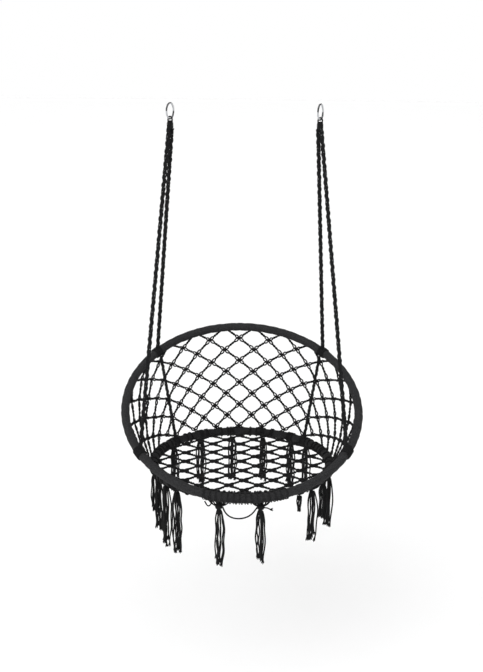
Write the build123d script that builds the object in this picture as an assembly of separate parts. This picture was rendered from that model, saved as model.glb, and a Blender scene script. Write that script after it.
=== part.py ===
"""Hanging hammock chair: two cord-wrapped steel rings, a knotted net between them,
four plaited ropes up to two steel hanger rings, and a fringe of cord tassels.

Millimetres, +Z up, +Y towards the back of the chair.  The origin is midway between
the two hanger rings, level with the inside top of each ring, where a hook bears.
Azimuths on the two big rings are degrees from the back (+Y) towards +X.
"""
from build123d import *
import os
from math import atan2, cos, degrees, radians, sin, sqrt, tan

# ---- rings of the chair -------------------------------------------------------
back_ring_outer = 800.0          # outside diameter of the wrapped back ring
seat_ring_outer = 618.0          # outside diameter of the wrapped seat ring
tube_diameter = 22.0             # bare steel tube
tube_wall = 1.2
wrap_thickness = 3.5             # cord wound on the tube
wrap_fit = 0.1                   # air between tube and wrap
back_ring_tilt = 28.6            # degrees, back edge raised
back_ring_drop = 975.0           # ring centre below the hanger rings' bearing height
ring_gap = 0.3                   # between the two wrapped rings where they meet in front
meeting_angle = 12.0             # degrees that the seat ring sits below the back ring there

# ---- hanger rings and rope eyes -------------------------------------------------
hang_half_span = 232.0           # from the middle to each hanger ring
hanger_outer = 53.0
hanger_wire = 5.5
hanger_turn = 65.0               # degrees, the rings hang nearly edge-on
eye_radius = 7.0                 # bend of the rope eye round the hanger wire
eye_cord = 5.0
eye_leg = 17.0                   # straight legs below the bend
whipping_diameter = 21.0
whipping_height = 10.0

# ---- ropes ------------------------------------------------------------------------
rope_diameter = 13.0
rope_pair_gap = 0.4              # between the two ropes of a side at the top
rope_top_gap = 1.5               # between whipping and ropes
rope_end_gap = 4.0               # between a rope's lower end and its hitch
stay_diameter = 11.0             # lower run of the rear rope, ring to ring
stay_net_gap = 4.5               # between the stay and the net behind it
stay_end_gap = 1.0               # between the stay's ends and its hitches
front_rope_azimuth = 121.5
rear_rope_azimuth = 48.6
stay_foot_azimuth = 52.0
touch_gap = 0.3                  # between soft pieces that touch

# ---- hitches, lashing and knots -----------------------------------------------------
hitch_cord = 4.0                 # thickness of a hitch wound on a wrapped ring
front_hitch_length = 36.0
rear_hitch_length = 30.0
stay_hitch_length = 24.0
tassel_hitch_cord = 3.0
tassel_hitch_length = 18.0
lashing_cord = 3.0
lashing_fit = 0.8
lashing_band = 8.0
lashing_pitch = 17.0
lashing_half_length = 119.0
knot_diameter = 18.0
knot_height = 18.0
front_knot_x = (-80.0, 48.0)

# ---- nets ------------------------------------------------------------------------------
net_cord = 7.0                   # width of the doubled cord
net_thickness = 5.0
net_knot = 13.0
net_column = 16.2                # degrees between knots of one row
net_columns = 16                 # panels round the back
net_row = 0.105                  # row pitch as a share of the ring-to-ring distance
net_row_hold = 48.6              # beyond this azimuth the pitch stays as it is here
net_end_gap = 1.9                # between the net's ends and the hitches on the rings
net_seam = 1.0                   # half of the slit between neighbouring panels
seat_mesh_width = 95.0
seat_mesh_depth = 82.0

# ---- tassels ------------------------------------------------------------------------------
tassel_head = 14.0
tassel_width = 32.0
stub_width = 16.0
tassel_gap = 1.0                 # between a tassel's head and what it hangs from
tassel_shoulder = 40.0           # a tassel reaches its full width this far down
rim_tassels = {                  # name: (azimuth on the seat ring, length, width)
    "tassel_left_1": (-134.0, 205.0, tassel_width),
    "tassel_left_2": (-122.0, 207.0, tassel_width),
    "tassel_left_3": (-112.0, 170.0, tassel_width),
    "tassel_left_4": (-102.0, 131.0, tassel_width),
    "tassel_back_2": (-28.0, 165.0, tassel_width),
    "tassel_back_3": (-5.0, 165.0, tassel_width),
    "tassel_back_4": (17.0, 165.0, tassel_width),
    "tassel_back_5": (38.0, 165.0, tassel_width),
    "tassel_right_1": (144.0, 52.0, stub_width),
    "tassel_right_2": (133.0, 172.0, tassel_width),
    "tassel_right_3": (119.0, 118.0, tassel_width),
    "tassel_right_4": (107.0, 172.0, tassel_width),
}
stay_tassels = {"tassel_back_1": -1, "tassel_back_6": 1}
stay_tassel_length = 165.0
front_tassels = {"tassel_front_1": (0, 185.0), "tassel_front_2": (1, 172.0)}

# ---- loose cord between the front knots ------------------------------------------------------
loose_cord_diameter = 4.2
loose_cord_ends = (2.8, 2.0)     # from the left and the right knot's side to the cord's ends
loose_cord_points = (            # share of the way between its ends, y and z below the lashing
    (0.0, 0.0, -12.0), (0.056, -2.0, -29.0), (0.234, -3.0, -45.0), (0.477, -3.0, -50.0),
    (0.72, -3.0, -44.0), (0.897, -2.0, -30.0), (1.0, 0.0, -13.0),
)

# ---- sizes that follow ---------------------------------------------------------------------------
wrap_radius = tube_diameter / 2 + wrap_thickness
back_radius = back_ring_outer / 2 - wrap_radius
seat_radius = seat_ring_outer / 2 - wrap_radius
hanger_radius = (hanger_outer - hanger_wire) / 2
hanger_centre_z = -(hanger_radius - hanger_wire / 2)
wire_z = hanger_centre_z - hanger_radius
rope_radius = rope_diameter / 2
rope_top_z = wire_z - eye_leg - whipping_height - rope_top_gap - rope_radius
hitch_radius = wrap_radius + wrap_fit + hitch_cord
tassel_hitch_radius = wrap_radius + wrap_fit + tassel_hitch_cord
lashing_radius = wrap_radius + lashing_fit + lashing_cord
net_edge = max(hitch_radius, lashing_radius) + net_end_gap
stay_inset = stay_diameter / 2 + net_thickness / 2 + stay_net_gap * back_radius / 385.5


def ring_plane(centre, tilt):
    """Plane of a ring, with its local +Y towards the back edge."""
    return Plane(origin=centre, x_dir=(1, 0, 0), z_dir=(0, -sin(radians(tilt)), cos(radians(tilt))))


back_plane = ring_plane((0, 0, -back_ring_drop), back_ring_tilt)
back_front = back_plane.from_local_coords(Vector(0, -back_radius, 0))
meeting = 2 * wrap_radius + ring_gap
seat_front = back_front + Vector(0, cos(radians(meeting_angle)), -sin(radians(meeting_angle))) * meeting
seat_plane = ring_plane((0, seat_front.Y + seat_radius, seat_front.Z), 0)


def back_point(azimuth):
    """Centre line of the back ring."""
    turn = radians(azimuth)
    return back_plane.from_local_coords(Vector(back_radius * sin(turn), back_radius * cos(turn), 0))


def seat_point(azimuth):
    """Centre line of the seat ring."""
    turn = radians(azimuth)
    return seat_plane.from_local_coords(Vector(seat_radius * sin(turn), seat_radius * cos(turn), 0))


def revolved(points, plane):
    """Solid of revolution about the plane's local Y, from an outline with x >= 0."""
    return revolve(plane * make_face(Polyline(*points, close=True)), Axis(plane.origin, plane.y_dir))


def capsule(start, end, radius):
    """Round bar with round ends, its end centres at start and end."""
    run = end - start
    side = run.cross(Vector(0, 1, 0)).normalized()
    plane = Plane(origin=start, x_dir=side, z_dir=side.cross(run.normalized()))
    length = run.length
    outline = [
        Line((0, -radius), (0, length + radius)),
        ThreePointArc((0, length + radius), (radius * sin(radians(45)), length + radius * sin(radians(45))),
                      (radius, length)),
        Line((radius, length), (radius, 0)),
        ThreePointArc((radius, 0), (radius * sin(radians(45)), -radius * sin(radians(45))), (0, -radius)),
    ]
    return revolve(plane * make_face(outline), Axis(plane.origin, plane.y_dir))


def hollow_ring(plane, ring_radius, outer, inner):
    """Hollow round tube bent into a ring."""
    return plane.location * (Torus(ring_radius, outer) - Torus(ring_radius, inner))


def sleeve(plane, ring_radius, azimuth, length, outer):
    """Cord wound round a wrapped ring: a short length of thick-walled bent tube."""
    arc = degrees(length / ring_radius)
    start = 90 - azimuth - arc / 2
    spoke = plane * Plane((0, 0, 0), x_dir=(cos(radians(start)), sin(radians(start)), 0),
                          z_dir=(sin(radians(start)), -cos(radians(start)), 0))
    hole = wrap_radius + wrap_fit
    section = spoke * (Pos(ring_radius, 0) * (Circle(outer) - Circle(hole)))
    return revolve(section, Axis(plane.origin, plane.z_dir), arc)


def hanger_plane(side):
    """Upright plane of a hanger ring, turned nearly edge-on to the front."""
    turn = radians(hanger_turn)
    return Plane(origin=(side * hang_half_span, 0, hanger_centre_z),
                 x_dir=(cos(turn), sin(turn), 0), z_dir=(sin(turn), -cos(turn), 0))


def hanger_ring(side):
    return hanger_plane(side).location * Torus(hanger_radius, hanger_wire / 2)


def rope_eye(side):
    """Cord bent over the hanger wire, with two straight legs down to the whipping."""
    turn = radians(hanger_turn)
    bend_plane = Plane(origin=(side * hang_half_span, 0, wire_z),
                       x_dir=(sin(turn), -cos(turn), 0), z_dir=(cos(turn), sin(turn), 0))
    bend_plane = Plane(bend_plane.origin, x_dir=bend_plane.x_dir, z_dir=bend_plane.x_dir.cross(Vector(0, 0, 1)))
    path = bend_plane * (
        Line((-eye_radius, -eye_leg), (-eye_radius, 0))
        + ThreePointArc((-eye_radius, 0), (0, eye_radius), (eye_radius, 0))
        + Line((eye_radius, 0), (eye_radius, -eye_leg))
    )
    start = Plane(origin=path @ 0, z_dir=path % 0)
    return sweep(start * Circle(eye_cord / 2), path=path)


def whipping(side):
    """Cord wound round the heads of a side's two ropes."""
    middle = wire_z - eye_leg - whipping_height / 2
    return Pos(side * hang_half_span, 0, middle) * Cylinder(whipping_diameter / 2, whipping_height)


def rope_top(side, front):
    """End centre of a rope below its whipping; the two ropes lie side by side."""
    half = (rope_diameter + rope_pair_gap) / 2 * sin(radians(45))
    step = -1 if front else 1
    return Vector(side * (hang_half_span - step * half), step * half, rope_top_z)


def rope(side, front):
    """Taut rope from the whipping to its hitch on the back ring."""
    azimuth = front_rope_azimuth if front else rear_rope_azimuth
    top = rope_top(side, front)
    foot = back_point(side * azimuth)
    up = (top - foot).normalized()
    return capsule(top, foot + up * (hitch_radius + rope_end_gap + rope_radius), rope_radius)


def stay(side):
    """Lower run of the rear rope, inside the net from the back ring to the seat ring."""
    top = back_point(side * rear_rope_azimuth)
    foot = seat_point(side * stay_foot_azimuth)
    along = (foot - top).normalized()
    spoke = (seat_plane.origin - foot).normalized()
    inward = (spoke - along * spoke.dot(along)).normalized()
    reach = hitch_radius + stay_end_gap + stay_diameter / 2
    trim = sqrt(reach ** 2 - stay_inset ** 2)
    shift = inward * stay_inset
    return capsule(top + shift + along * trim, foot + shift - along * trim, stay_diameter / 2)


def lashing_section(x):
    """Centres of both rings in one cross-cut at about x from the middle, and the cut's direction."""
    back_reach = sqrt(back_radius ** 2 - x ** 2)
    seat_reach = sqrt(seat_radius ** 2 - x ** 2)
    back = back_plane.from_local_coords(Vector(x, -back_reach, 0))
    seat = seat_plane.from_local_coords(Vector(x, -seat_reach, 0))
    back_run = (back_plane.x_dir + back_plane.y_dir * (x / back_reach)).normalized()
    seat_run = (seat_plane.x_dir + seat_plane.y_dir * (x / seat_reach)).normalized()
    along = (back_run + seat_run).normalized()
    offset = (seat - back).dot(along) / 2
    return back + back_run * offset, seat - seat_run * offset, along


def lashing_turn(x):
    """One band of lashing round both rings."""
    back, seat, along = lashing_section(x)
    middle = (back + seat) / 2
    across = seat - back
    across = (across - along * across.dot(along)).normalized()
    plane = Plane(origin=middle, x_dir=across, z_dir=along)
    apart = (seat - back).dot(across)
    outer = SlotCenterToCenter(apart, 2 * lashing_radius)
    inner = SlotCenterToCenter(apart, 2 * (wrap_radius + lashing_fit))
    return extrude(plane * (outer - inner), amount=lashing_band / 2, both=True)


def lashing():
    turns = int(lashing_half_length // lashing_pitch)
    return [lashing_turn(index * lashing_pitch) for index in range(-turns, turns + 1)]


def knot_top(x):
    """Height of the lashing's underside at x, and the y midway between the rings."""
    back, seat, _ = lashing_section(x)
    return min(back.Z, seat.Z) - lashing_radius - touch_gap, (back.Y + seat.Y) / 2


def front_knot(x):
    """Barrel knot that gathers the cord tails under the lashing."""
    top, y = knot_top(x)
    barrel = Pos(x, y, top - knot_height / 2) * Cylinder(knot_diameter / 2, knot_height)
    return fillet(barrel.edges(), knot_diameter / 6)


def tassel(head, length, width):
    """Bundle of cord tails: a round head, then a bundle that widens to its cut ends."""
    radius = tassel_head / 2
    shoulder = min(tassel_shoulder, length / 2)
    outline = [
        Line((0, radius), (0, -length)),
        Line((0, -length), (width / 2, -length)),
        Line((width / 2, -length), (width / 2, -shoulder)),
        Line((width / 2, -shoulder), (radius, 0)),
        ThreePointArc((radius, 0), (radius * sin(radians(45)), radius * sin(radians(45))), (0, radius)),
    ]
    plane = Plane(origin=head, x_dir=(1, 0, 0), z_dir=(0, -1, 0))
    return revolve(plane * make_face(outline), Axis(plane.origin, plane.y_dir))


def rim_tassel_head(azimuth, hitch):
    """Hinge point of a tassel below the seat ring."""
    return seat_point(azimuth) - Vector(0, 0, hitch + tassel_gap + tassel_head / 2)


def front_tassel_head(x):
    """Hinge point of a tassel below a front knot."""
    top, y = knot_top(x)
    return Vector(x, y, top - knot_height - tassel_gap - tassel_head / 2)


def net_point(azimuth, row):
    """Point of the back net: rows are counted down from the back ring."""
    top = back_point(azimuth)
    foot = seat_point(azimuth)
    gap = (foot - top).length
    held = min(abs(azimuth), net_row_hold)
    pitch = net_row * (seat_point(held) - back_point(held)).length
    return top + (foot - top) * (min(row * pitch, gap) / gap)


def net_bar(start, end):
    """Doubled net cord between two points of a panel's plane."""
    run = end - start
    angle = degrees(atan2(run.Y, run.X))
    middle = (start + end) / 2
    return Pos(middle.X, middle.Y) * Rot(0, 0, angle) * Rectangle(run.length + net_cord / 2, net_cord)


def net_panel(index):
    """One flat panel of the back net, with a column of knots down its middle."""
    middle = (index - (net_columns - 1) / 2) * net_column
    edges = (middle - net_column / 2, middle + net_column / 2)
    corners = [back_point(edges[0]), back_point(edges[1]), seat_point(edges[1]), seat_point(edges[0])]
    centre = sum(corners, Vector(0, 0, 0)) / 4
    across = (corners[1] + corners[2] - corners[0] - corners[3]).normalized()
    down = corners[2] + corners[3] - corners[0] - corners[1]
    normal = across.cross(down).normalized()
    plane = Plane(origin=centre, x_dir=across, z_dir=normal)

    def flat(point):
        local = plane.to_local_coords(point)
        return Vector(local.X, local.Y, 0)

    rows = int(1 / net_row) + 2
    bars = []
    for row in range(rows):
        near = row % 2 == 0
        for edge in edges:
            start = flat(net_point(middle if near else edge, row))
            end = flat(net_point(edge if near else middle, row + 1))
            if (end - start).length > net_cord:
                bars.append(net_bar(start, end))
        if near:
            knot = flat(net_point(middle, row))
            bars.append(Pos(knot.X, knot.Y) * Circle(net_knot / 2))
    lattice = bars[0].fuse(*bars[1:])
    quad = [flat(corner) for corner in corners]
    trimmed = make_face(Polyline(*trim_panel(quad), close=True))
    return extrude(plane * (lattice & trimmed), amount=net_thickness / 2, both=True)


def trim_panel(quad):
    """Panel outline: in from both rings by net_edge and from both seams by net_seam."""
    insets = (net_edge, net_seam, net_edge, net_seam)
    lines = []
    for index, inset in enumerate(insets):
        start = quad[index]
        run = (quad[(index + 1) % 4] - start).normalized()
        inward = Vector(-run.Y, run.X, 0)
        if inward.dot(quad[(index + 2) % 4] - start) < 0:
            inward = inward * -1
        lines.append((start + inward * inset, run))
    points = []
    for index in range(4):
        start, run = lines[index - 1]
        other, other_run = lines[index]
        step = other - start
        share = (step.X * other_run.Y - step.Y * other_run.X) / (run.X * other_run.Y - run.Y * other_run.X)
        points.append(start + run * share)
    return points


def seat_net():
    """Flat net across the seat ring."""
    edge = seat_radius - net_edge
    half_width = seat_mesh_width / 2
    half_depth = seat_mesh_depth / 2
    columns = int(edge // half_width) + 2
    rows = int(edge // half_depth) + 2
    bars = []
    for column in range(-columns, columns):
        for row in range(-rows, rows):
            rising = (column + row) % 2 == 0
            low, high = (row, row + 1) if rising else (row + 1, row)
            start = Vector(column * half_width, low * half_depth, 0)
            end = Vector((column + 1) * half_width, high * half_depth, 0)
            if min(start.length, end.length) > edge:
                continue
            bars.append(net_bar(start, end))
            if rising and start.length < edge:
                bars.append(Pos(start.X, start.Y) * Circle(net_knot / 2))
    lattice = bars[0].fuse(*bars[1:])
    rim = Circle(edge) - Circle(edge - net_cord)
    return extrude(seat_plane * ((lattice & Circle(edge)) + rim), amount=net_thickness / 2, both=True)


def loose_cord():
    """Thin cord that droops between the two front knots."""
    top = knot_top(0)[0]
    depth = sum(knot_top(x)[1] for x in front_knot_x) / 2
    left = front_knot_x[0] + knot_diameter / 2 + loose_cord_ends[0]
    right = front_knot_x[1] - knot_diameter / 2 - loose_cord_ends[1]
    points = [Vector(left + (right - left) * share, depth + y, top + z) for share, y, z in loose_cord_points]
    radii = []
    for before, corner, after in zip(points, points[1:], points[2:]):
        turn = radians((corner - before).get_angle(after - corner))
        shorter = min((corner - before).length, (after - corner).length)
        radii.append(0.45 * shorter / tan(turn / 2))
    print("loose cord radii", [round(radius, 1) for radius in radii])
    path = FilletPolyline(*points, radius=radii)
    section = Plane(origin=path @ 0, z_dir=path % 0) * Circle(loose_cord_diameter / 2)
    cord = sweep(section, path=path)
    print("loose cord length", round(path.length, 1), "volume share",
          round(cord.volume / (path.length * section.area), 4))
    return cord


def build():
    """All nodes by name."""
    tube_radius = tube_diameter / 2
    nodes = {
        "back_ring_tube": hollow_ring(back_plane, back_radius, tube_radius, tube_radius - tube_wall),
        "back_ring_wrap": hollow_ring(back_plane, back_radius, wrap_radius, tube_radius + wrap_fit),
        "seat_ring_tube": hollow_ring(seat_plane, seat_radius, tube_radius, tube_radius - tube_wall),
        "seat_ring_wrap": hollow_ring(seat_plane, seat_radius, wrap_radius, tube_radius + wrap_fit),
        "back_net": Compound(children=[part for index in range(net_columns)
                                       for part in net_panel(index).solids()]),
        "seat_net": seat_net(),
        "front_lashing": Compound(children=[part for turn in lashing() for part in turn.solids()]),
        "loose_cord": loose_cord(),
    }
    for side, name in ((-1, "left"), (1, "right")):
        nodes[f"hanger_ring_{name}"] = hanger_ring(side)
        nodes[f"rope_eye_{name}"] = rope_eye(side)
        nodes[f"rope_whipping_{name}"] = whipping(side)
        nodes[f"front_rope_{name}"] = rope(side, True)
        nodes[f"rear_rope_{name}"] = rope(side, False)
        nodes[f"rear_stay_{name}"] = stay(side)
        nodes[f"front_hitch_{name}"] = sleeve(
            back_plane, back_radius, side * front_rope_azimuth, front_hitch_length, hitch_radius)
        nodes[f"rear_hitch_{name}"] = sleeve(
            back_plane, back_radius, side * rear_rope_azimuth, rear_hitch_length, hitch_radius)
        nodes[f"stay_hitch_{name}"] = sleeve(
            seat_plane, seat_radius, side * stay_foot_azimuth, stay_hitch_length, hitch_radius)
        nodes[f"front_knot_{name}"] = front_knot(front_knot_x[side > 0])
    hitches = []
    for name, (azimuth, length, width) in rim_tassels.items():
        hitches += sleeve(seat_plane, seat_radius, azimuth, tassel_hitch_length, tassel_hitch_radius).solids()
        nodes[name] = tassel(rim_tassel_head(azimuth, tassel_hitch_radius), length, width)
    nodes["tassel_hitches"] = Compound(children=hitches)
    for name, side in stay_tassels.items():
        head = rim_tassel_head(side * stay_foot_azimuth, hitch_radius)
        nodes[name] = tassel(head, stay_tassel_length, tassel_width)
    for name, (place, length) in front_tassels.items():
        nodes[name] = tassel(front_tassel_head(front_knot_x[place]), length, tassel_width)
    return nodes


if __name__ == "__main__":
    os.makedirs("parts", exist_ok=True)
    for node, shape in build().items():
        export_step(shape, f"parts/{node}.step")
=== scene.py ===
"""Detailed pieces for a knotted hanging chair, laid out as a Blender add-on.

Metres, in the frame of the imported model: +Z up, +Y towards the back of the chair.
Azimuths on the two big rings are degrees from the back towards +X.
"""

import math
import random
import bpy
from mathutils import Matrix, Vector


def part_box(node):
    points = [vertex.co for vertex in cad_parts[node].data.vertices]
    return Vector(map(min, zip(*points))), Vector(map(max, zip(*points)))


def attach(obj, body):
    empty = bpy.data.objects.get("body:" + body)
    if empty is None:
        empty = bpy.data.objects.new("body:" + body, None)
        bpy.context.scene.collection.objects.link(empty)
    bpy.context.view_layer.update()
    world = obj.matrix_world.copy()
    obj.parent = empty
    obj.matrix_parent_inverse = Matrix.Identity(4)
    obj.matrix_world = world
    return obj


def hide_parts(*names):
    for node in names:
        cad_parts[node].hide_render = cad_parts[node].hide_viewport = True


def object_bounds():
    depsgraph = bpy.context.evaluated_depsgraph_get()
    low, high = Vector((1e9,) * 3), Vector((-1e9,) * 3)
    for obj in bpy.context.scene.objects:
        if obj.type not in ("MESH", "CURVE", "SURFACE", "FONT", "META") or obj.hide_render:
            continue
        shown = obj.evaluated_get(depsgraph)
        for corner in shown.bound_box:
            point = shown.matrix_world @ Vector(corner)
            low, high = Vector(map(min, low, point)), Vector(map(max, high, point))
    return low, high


bl_info = {
    "name": "Hanging Net Chair",
    "version": (1, 0, 0),
    "blender": (4, 5, 0),
    "location": "View3D > Sidebar > Hanging Chair",
    "description": "Cord, net, fringe and ring pieces for a hanging chair, with their finishes",
    "category": "Add Mesh",
}

from collections import namedtuple
from functools import lru_cache

import bpy
import numpy as np
from mathutils import Matrix, Vector

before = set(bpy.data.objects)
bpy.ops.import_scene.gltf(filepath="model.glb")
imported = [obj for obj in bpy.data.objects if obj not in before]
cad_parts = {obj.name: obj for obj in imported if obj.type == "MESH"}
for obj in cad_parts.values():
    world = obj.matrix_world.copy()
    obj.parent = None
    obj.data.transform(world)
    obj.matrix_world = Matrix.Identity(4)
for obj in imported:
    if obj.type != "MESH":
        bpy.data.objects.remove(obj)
cad_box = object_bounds()

Run = namedtuple("Run", "points scale closed", defaults=(None, False))
Ring = namedtuple("Ring", "centre radius lean wrap")

SIDES = (("left", -1), ("right", 1))
END_COIL = 0.0066            # length of the coil that ends a net cord on a ring
END_SINK = 0.0018            # how far that coil presses into the wrap
KNOT_RADIUS = 0.0042         # of the crossed bands on a net crossing
NET_GAP = 0.012              # shortest part of a net side worth drawing
ROPE_TOP_GAP, ROPE_FOOT_GAP, STAY_FOOT_GAP = 0.007, 0.011, 0.007
LASHING_REACH = 0.0186       # from a ring's centre line down past the lashing
TASSEL_TOP = 0.0045          # cord tops above the middle of a tassel's head
TASSEL_BELL = 0.011          # room below the cords for their frayed ends


# ---- sizes and colours a user may change

def size_property(label, text, value):
    return bpy.props.FloatProperty(name=label, description=text, default=value, subtype="DISTANCE")


class ChairSizes(bpy.types.PropertyGroup):
    net_cord: size_property("Net cord", "Thickness of one cord of the doubled net", 0.0052)
    net_eye: size_property("Net eye", "How far each net cord swings out from its partner", 0.0043)
    back_wind: size_property("Back ring wind", "Pitch of the cord wound on the back ring", 0.0054)
    seat_wind: size_property("Seat ring wind", "Pitch of the cord wound on the seat ring", 0.0062)
    rope_thickness: size_property("Rope", "Thickness of a plaited rope", 0.013)
    stay_thickness: size_property("Stay", "Thickness of the plait between the two rings", 0.011)
    plait_step: size_property("Plait step", "Length of one crossing of the plait", 0.021)
    tassel_cord: size_property("Fringe cord", "Thickness of one fringe cord", 0.0048)
    tassel_cords: bpy.props.IntProperty(
        name="Fringe cords", description="Cords in each tassel", default=9, min=3, max=20)
    lashing_cord: size_property("Lashing", "Thickness of the cord that ties the two rings together", 0.003)
    hanger_wire: size_property("Hanger wire", "Thickness of the steel hanger rings", 0.0055)
    floor_drop: size_property("Floor drop", "Distance from the lowest fringe down to the floor", 0.42)


def colour_property(label, text, value):
    return bpy.props.FloatVectorProperty(
        name=label, description=text, default=value, subtype="COLOR", size=3, min=0, max=1)


class ChairColours(bpy.types.PropertyGroup):
    ring_wrap: colour_property("Ring wrap", "Charcoal cord wound on the rings", (0.024, 0.024, 0.025))
    net: colour_property("Net cord", "Black cord of the nets", (0.0035, 0.0035, 0.0038))
    rope: colour_property("Rope", "Black cord of the plaited ropes", (0.0085, 0.0085, 0.0090))
    fringe: colour_property("Fringe", "Black cord of the tassels", (0.0042, 0.0042, 0.0045))
    lashing: colour_property("Lashing", "Cord of the lashings and hitches", (0.0130, 0.0130, 0.0138))
    faded: colour_property("Faded cord", "Where the cord has caught the light", (0.032, 0.032, 0.034))
    steel: colour_property("Steel", "Bright plated hanger rings", (0.56, 0.57, 0.59))
    tube: colour_property("Tube", "Powder coat on the ring tubes", (0.020, 0.020, 0.021))
    floor: colour_property("Floor", "Pale floor", (0.84, 0.84, 0.84))


# ---- shader groups and materials

def link(tree, source, target):
    tree.links.new(source, target)


def math_node(tree, operation, first, second=None, clamp=False):
    node = tree.nodes.new("ShaderNodeMath")
    node.operation = operation
    node.use_clamp = clamp
    for socket, value in zip(node.inputs, (first, second)):
        if isinstance(value, (int, float)):
            socket.default_value = value
        elif value is not None:
            link(tree, value, socket)
    return node.outputs[0]


def plus(tree, first, second, clamp=False):
    return math_node(tree, "ADD", first, second, clamp)


def times(tree, first, second):
    return math_node(tree, "MULTIPLY", first, second)


def noise_node(tree, vector, scale, detail, roughness=0.55):
    node = tree.nodes.new("ShaderNodeTexNoise")
    node.inputs["Scale"].default_value = scale
    node.inputs["Detail"].default_value = detail
    node.inputs["Roughness"].default_value = roughness
    link(tree, vector, node.inputs["Vector"])
    return node.outputs["Fac"]


def mix_colours(tree, factor, first, second, blend="MIX"):
    node = tree.nodes.new("ShaderNodeMix")
    node.data_type = "RGBA"
    node.blend_type = blend
    for name, value in (("Factor", factor), ("A", first), ("B", second)):
        socket = node.inputs[name]
        if isinstance(value, (int, float, tuple)):
            socket.default_value = value
        else:
            link(tree, value, socket)
    return node.outputs["Result"]


def twisted_cord_group():
    """Laid yarns that run round a cord, with fibre fuzz, painted shade in the grooves between yarns, random
    mottle and faded patches.
    """
    found = bpy.data.node_groups.get("Twisted Cord")
    if found:
        return found
    tree = bpy.data.node_groups.new("Twisted Cord", "ShaderNodeTree")
    for way, sockets in (
            ("INPUT", (("Along And Around", "Vector"), ("Place", "Vector"), ("Lay", "Float"),
                       ("Yarn", "Color"), ("Faded", "Color"), ("Fading", "Float"))),
            ("OUTPUT", (("Colour", "Color"), ("Roughness", "Float"), ("Height", "Float")))):
        for name, kind in sockets:
            tree.interface.new_socket(name, in_out=way, socket_type=f"NodeSocket{kind}")
    given = tree.nodes.new("NodeGroupInput").outputs
    result = tree.nodes.new("NodeGroupOutput").inputs
    split = tree.nodes.new("ShaderNodeSeparateXYZ")
    link(tree, given["Along And Around"], split.inputs[0])
    along = times(tree, split.outputs["X"], given["Lay"])
    around = times(tree, split.outputs["Y"], 3.0)
    turn = times(tree, plus(tree, along, around), math.pi)
    yarn = math_node(tree, "POWER", math_node(tree, "ABSOLUTE", math_node(tree, "SINE", turn)), 0.55)
    fuzz = noise_node(tree, given["Place"], 1400.0, 3.0, 0.7)
    patch = noise_node(tree, given["Place"], 14.0, 3.0)
    fade = times(tree, math_node(tree, "POWER", patch, 2.0), given["Fading"])
    fade = plus(tree, fade, times(tree, fuzz, 0.22), clamp=True)
    base = mix_colours(tree, fade, given["Yarn"], given["Faded"])
    mottle = noise_node(tree, given["Place"], 300.0, 2.0, 0.6)
    # painted shade: the colour is darkened in the grooves between the yarns, where shade falls; the mottle
    # then adds random darker and lighter tone
    groove_shade_and_mottle = plus(tree, times(tree, yarn, 0.62), 0.38, clamp=True)
    groove_shade_and_mottle = times(tree, groove_shade_and_mottle, plus(tree, times(tree, mottle, 2.4), -0.2))
    shade = tree.nodes.new("ShaderNodeCombineColor")
    for socket in shade.inputs:
        link(tree, groove_shade_and_mottle, socket)
    # the colour is multiplied by the painted groove shade and the random mottle
    link(tree, mix_colours(tree, 1.0, base, shade.outputs[0], "MULTIPLY"), result["Colour"])
    link(tree, plus(tree, times(tree, fuzz, 0.25), 0.70, clamp=True), result["Roughness"])
    link(tree, plus(tree, times(tree, yarn, 0.75), times(tree, fuzz, 0.35)), result["Height"])
    return tree


def new_material(name):
    material = bpy.data.materials.new(name)
    material.use_nodes = True
    tree = material.node_tree
    shader = next(node for node in tree.nodes if node.type == "BSDF_PRINCIPLED")
    return material, tree, shader


def add_bump(tree, shader, height, distance, strength=1.0):
    bump = tree.nodes.new("ShaderNodeBump")
    bump.inputs["Distance"].default_value = distance
    bump.inputs["Strength"].default_value = strength
    link(tree, height, bump.inputs["Height"])
    link(tree, bump.outputs["Normal"], shader.inputs["Normal"])


def rgba(colour):
    return (*colour, 1.0)


# finish: its colour, how faded it is, yarn crossings a metre, depth of relief
CORD_LOOKS = {
    "Net Cord": ("net", 0.30, 240.0, 0.0004),
    "Rope Cord": ("rope", 0.35, 260.0, 0.0004),
    "Fringe Cord": ("fringe", 0.35, 260.0, 0.0004),
    "Hitch Cord": ("net", 0.40, 260.0, 0.0004),
    "Lashing Cord": ("lashing", 0.40, 300.0, 0.0004),
    "Ring Wrap Cord": ("ring_wrap", 0.45, 420.0, 0.0006),
    "Seat Wrap Cord": ("lashing", 0.35, 300.0, 0.0004),
}


def cord_material(name):
    """Matt twisted cotton cord."""
    found = bpy.data.materials.get(name)
    if found:
        return found
    colours = bpy.context.scene.chair_colours
    yarn, fading, lay, relief = CORD_LOOKS[name]
    material, tree, shader = new_material(name)
    place = tree.nodes.new("ShaderNodeTexCoord")
    group = tree.nodes.new("ShaderNodeGroup")
    group.node_tree = twisted_cord_group()
    link(tree, place.outputs["UV"], group.inputs["Along And Around"])
    link(tree, place.outputs["Object"], group.inputs["Place"])
    for socket, value in (("Lay", lay), ("Yarn", rgba(getattr(colours, yarn))),
                          ("Faded", rgba(colours.faded)), ("Fading", fading)):
        group.inputs[socket].default_value = value
    add_bump(tree, shader, group.outputs["Height"], relief, 0.9)
    link(tree, group.outputs["Colour"], shader.inputs["Base Color"])
    link(tree, group.outputs["Roughness"], shader.inputs["Roughness"])
    for socket, value in (("Specular IOR Level", 0.10), ("Sheen Weight", 0.03), ("Sheen Roughness", 0.5)):
        shader.inputs[socket].default_value = value
    return material


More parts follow.
